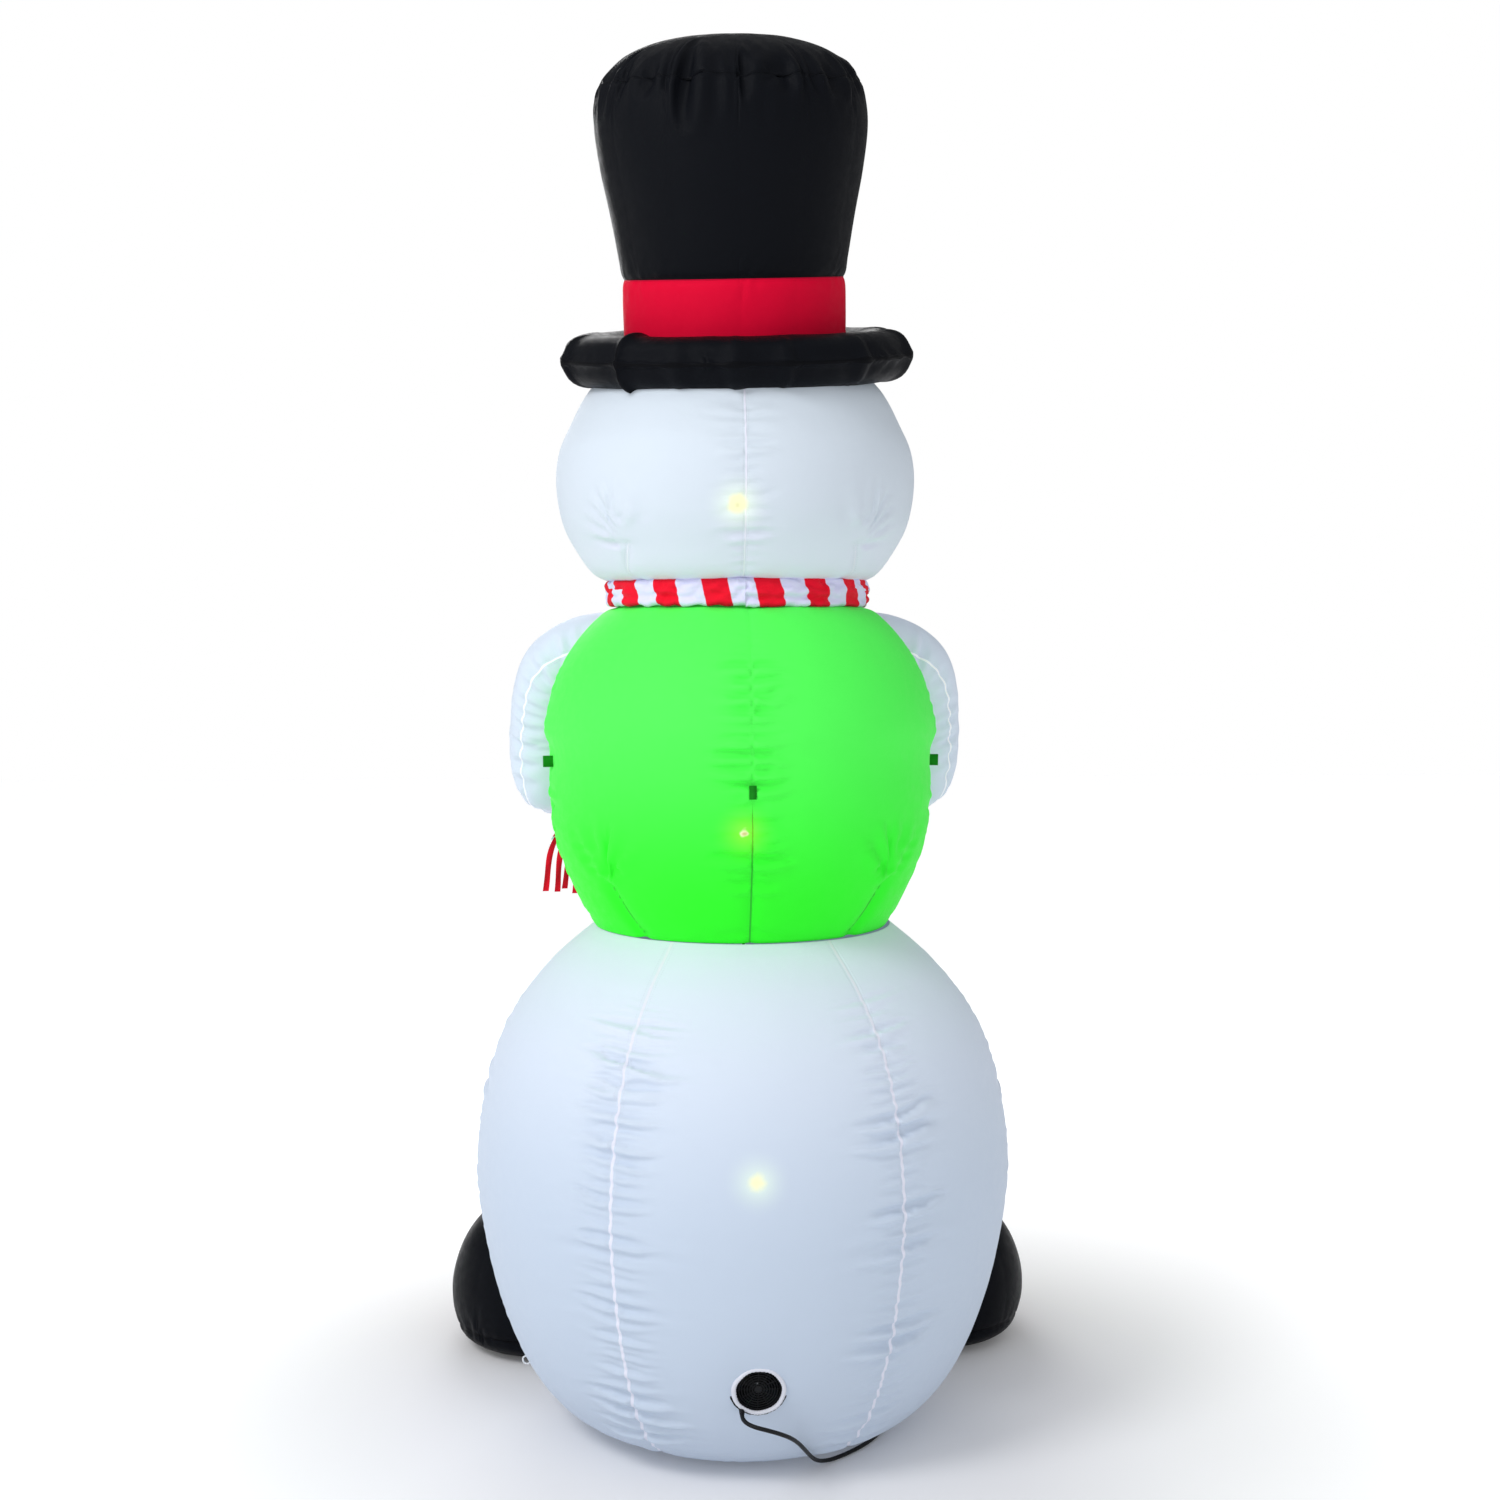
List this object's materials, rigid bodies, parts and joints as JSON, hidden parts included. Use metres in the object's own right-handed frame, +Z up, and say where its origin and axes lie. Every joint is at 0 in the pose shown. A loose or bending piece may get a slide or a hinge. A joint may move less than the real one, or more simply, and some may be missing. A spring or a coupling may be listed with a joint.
{
  "type": "inflatable yard snowman",
  "caption": "Fan-inflated fabric snowman with top hat, vest, scarf, arms and boots, standing on a flat base panel, with inner lamps and a power lead.",
  "frame": {"origin": "centre of the base panel, on the ground", "axes": "+Z up; the snowman faces -Y, its own left is +X, and the fan inlet is on its back at +Y"},
  "size_m": [1.136, 1.1493, 2.4474],
  "materials": {
    "white_nylon": "thin white taffeta, slightly sheer",
    "green_nylon": "bright green taffeta",
    "black_nylon": "black taffeta with a soft sheen",
    "red_nylon": "red taffeta with a soft sheen",
    "mitten_nylon": "red taffeta",
    "scarf_fabric": "red fabric printed with white slanting stripes",
    "carrot_nylon": "orange taffeta",
    "coal_fabric": "black taffeta",
    "green_webbing": "folded green tape",
    "white_cord": "braided white cord",
    "collar_fabric": "gathered white taffeta",
    "fan_plastic": "moulded black plastic",
    "impeller_plastic": "moulded black plastic",
    "motor_steel": "zinc-plated steel",
    "bronze": "sintered bronze and copper",
    "lamp_lens": "frosted plastic",
    "lead_sheath": "black flexible sheath",
    "zipper_cloth": "woven tape with moulded teeth",
    "zipper_metal": "nickel plate"
  },
  "bodies": {
    "envelope": {"inlet_collar": "collar_fabric", "intake_bezel": "fan_plastic", "intake_grille": "fan_plastic", "fan_housing": "fan_plastic", "motor_spider": "fan_plastic", "motor_can": "motor_steel", "motor_end_cap": "fan_plastic", "front_bush": "bronze", "rear_bush": "bronze", "strain_relief": "lead_sheath", "lower_body_skin": "white_nylon", "base_panel": "white_nylon", "vest_skin": "green_nylon", "head_skin": "white_nylon", "hat_brim": "black_nylon", "hat_band": "red_nylon", "hat_crown": "black_nylon", "hat_top": "black_nylon", "scarf_wrap": "scarf_fabric", "scarf_knot": "scarf_fabric", "scarf_tail_left": "scarf_fabric", "scarf_tail_right": "scarf_fabric", "left_arm": "white_nylon", "left_mitten": "mitten_nylon", "left_boot": "black_nylon", "right_arm": "white_nylon", "right_mitten": "mitten_nylon", "right_boot": "black_nylon", "button_upper": "coal_fabric", "button_middle": "coal_fabric", "button_lower": "coal_fabric", "left_eye": "coal_fabric", "right_eye": "coal_fabric", "carrot_nose": "carrot_nylon", "mouth_coal_1": "coal_fabric", "mouth_coal_2": "coal_fabric", "mouth_coal_3": "coal_fabric", "mouth_coal_4": "coal_fabric", "mouth_coal_5": "coal_fabric", "tether_tab_back": "green_webbing", "tether_tab_left": "green_webbing", "tether_tab_right": "green_webbing", "tether_loop_left": "white_cord", "tether_loop_right": "white_cord", "lamp_base_ball": "fan_plastic", "lamp_lens_ball": "lamp_lens", "lamp_base_vest": "fan_plastic", "lamp_lens_vest": "lamp_lens", "lamp_base_head": "fan_plastic", "lamp_lens_head": "lamp_lens", "lamp_cable": "lead_sheath", "power_cord": "lead_sheath", "cord_coil": "lead_sheath", "power_plug": "lead_sheath", "zipper_tape": "zipper_cloth"},
    "fan_rotor": {"impeller": "impeller_plastic", "motor_shaft": "motor_steel", "armature": "bronze"},
    "slider": {"zipper_slider": "zipper_metal"},
    "pull": {"zipper_pull": "zipper_metal"}
  },
  "joints": [
    {"name": "fan_spin", "type": "hinge", "parent": "envelope", "child": "fan_rotor", "pos_m": [0, 0.42093, 0.19], "axis": [0, 0.9703, -0.2419], "continuous": true},
    {"name": "zipper_slide", "type": "hinge", "parent": "envelope", "child": "slider", "pos_m": [0, 0, 0.1577], "axis": [0, 0, 1], "range_deg": [0, 26]},
    {"name": "zipper_pull_swing", "type": "hinge", "parent": "slider", "child": "pull", "pos_m": [-0.09412, -0.40768, 0.15773], "axis": [-0.9744, 0.225, 0], "range_deg": [0, 100]}
  ]
}
